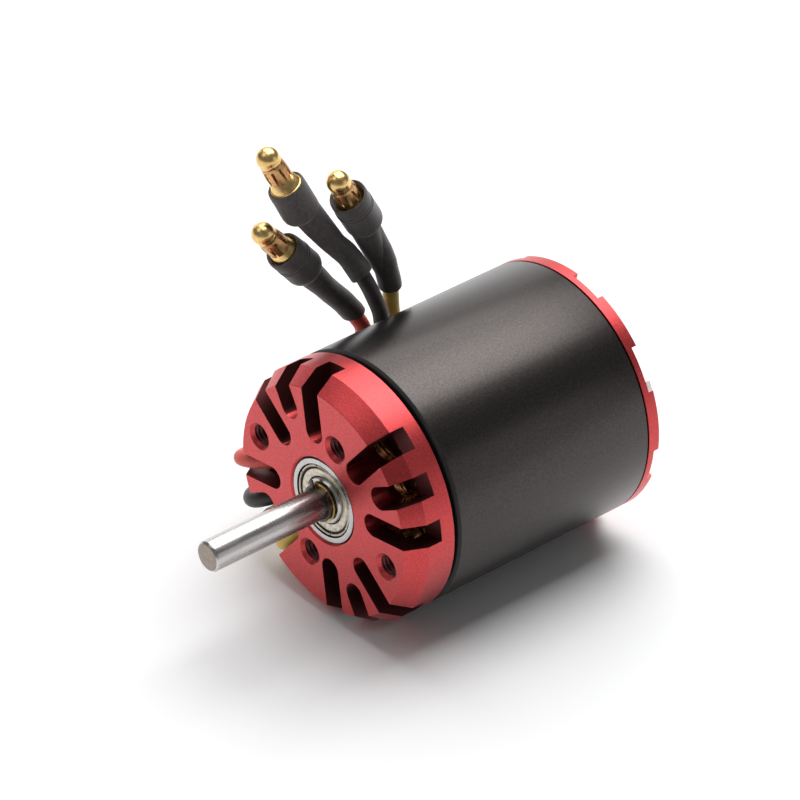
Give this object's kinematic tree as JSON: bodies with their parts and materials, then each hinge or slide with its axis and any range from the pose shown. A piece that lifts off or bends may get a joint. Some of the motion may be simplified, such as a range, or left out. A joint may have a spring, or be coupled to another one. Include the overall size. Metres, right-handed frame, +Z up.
{
  "type": "brushless outrunner motor",
  "caption": "Brushless outrunner motor: red slotted front mount, black rotor can, red rear bell, output shaft, leads with bullet plugs, and windings, magnets and ball bearings inside.",
  "frame": {"origin": "middle of the footprint on the surface that the motor lies on: under the axis, halfway between the shaft's tip and the rear bell's rear face, at the height of the can's lowest line", "axes": "motor lies on its side; +Y along the motor's axis from the output shaft's tip to the rear bell, +Z up, +X to the right when looking from the shaft's end along +Y"},
  "size_m": [0.051, 0.0724, 0.0653],
  "materials": {
    "red_anodised": "fine bead-blasted red anodised aluminium, satin",
    "black_can": "satin black coated steel with a fine grain",
    "ground_steel": "ground and polished steel",
    "bearing_steel": "polished bearing steel",
    "shield_steel": "pressed steel shield, slightly oiled",
    "black_steel": "black oxide steel",
    "brass_shim": "brass",
    "lamination": "stacked electrical steel sheets",
    "insulator": "brown insulating coating",
    "enamelled_copper": "enamelled copper wire, glossy brown",
    "magnet_nickel": "nickel-plated magnet",
    "gold_plate": "gold plating, glossy",
    "heat_shrink": "matt black heat-shrink sleeve",
    "wire_red": "red silicone insulation",
    "wire_black": "black silicone insulation",
    "wire_yellow": "yellow silicone insulation"
  },
  "bodies": {
    "stator": {"front_mount": "red_anodised", "stator_core": "lamination", "insulator_front": "insulator", "insulator_rear": "insulator", "coil_01": "enamelled_copper", "coil_02": "enamelled_copper", "coil_03": "enamelled_copper", "coil_04": "enamelled_copper", "coil_05": "enamelled_copper", "coil_06": "enamelled_copper", "coil_07": "enamelled_copper", "coil_08": "enamelled_copper", "coil_09": "enamelled_copper", "coil_10": "enamelled_copper", "coil_11": "enamelled_copper", "coil_12": "enamelled_copper", "front_bearing_outer_ring": "bearing_steel", "front_bearing_shield_front": "shield_steel", "front_bearing_shield_rear": "shield_steel", "rear_bearing_outer_ring": "bearing_steel", "rear_bearing_shield_front": "shield_steel", "rear_bearing_shield_rear": "shield_steel", "lead_red": "wire_red", "sleeve_red": "heat_shrink", "bullet_pin_red": "gold_plate", "spring_cage_red": "gold_plate", "lead_black": "wire_black", "sleeve_black": "heat_shrink", "bullet_pin_black": "gold_plate", "spring_cage_black": "gold_plate", "lead_yellow": "wire_yellow", "sleeve_yellow": "heat_shrink", "bullet_pin_yellow": "gold_plate", "spring_cage_yellow": "gold_plate"},
    "rotor": {"rotor_can": "black_can", "rear_bell": "red_anodised", "shaft": "ground_steel", "grub_screw_1": "black_steel", "grub_screw_2": "black_steel", "retaining_clip": "black_steel", "shim_washer": "brass_shim", "front_bearing_inner_ring": "bearing_steel", "rear_bearing_inner_ring": "bearing_steel", "magnet_01": "magnet_nickel", "magnet_02": "magnet_nickel", "magnet_03": "magnet_nickel", "magnet_04": "magnet_nickel", "magnet_05": "magnet_nickel", "magnet_06": "magnet_nickel", "magnet_07": "magnet_nickel", "magnet_08": "magnet_nickel", "magnet_09": "magnet_nickel", "magnet_10": "magnet_nickel", "magnet_11": "magnet_nickel", "magnet_12": "magnet_nickel", "magnet_13": "magnet_nickel", "magnet_14": "magnet_nickel"},
    "front_ball_set": {"front_bearing_balls": "bearing_steel"},
    "rear_ball_set": {"rear_bearing_balls": "bearing_steel"}
  },
  "joints": [
    {"name": "rotor_spin", "type": "hinge", "parent": "stator", "child": "rotor", "pos_m": [0, 0, 0.021], "axis": [0, 1, 0], "continuous": true},
    {"name": "front_ball_orbit", "type": "hinge", "parent": "stator", "child": "front_ball_set", "pos_m": [0, 0, 0.021], "axis": [0, 1, 0], "continuous": true},
    {"name": "rear_ball_orbit", "type": "hinge", "parent": "stator", "child": "rear_ball_set", "pos_m": [0, 0, 0.021], "axis": [0, 1, 0], "continuous": true}
  ],
  "couplings": [
    {"joint": "front_ball_orbit", "follows": "rotor_spin", "ratio": 0.41},
    {"joint": "rear_ball_orbit", "follows": "rotor_spin", "ratio": 0.41}
  ]
}
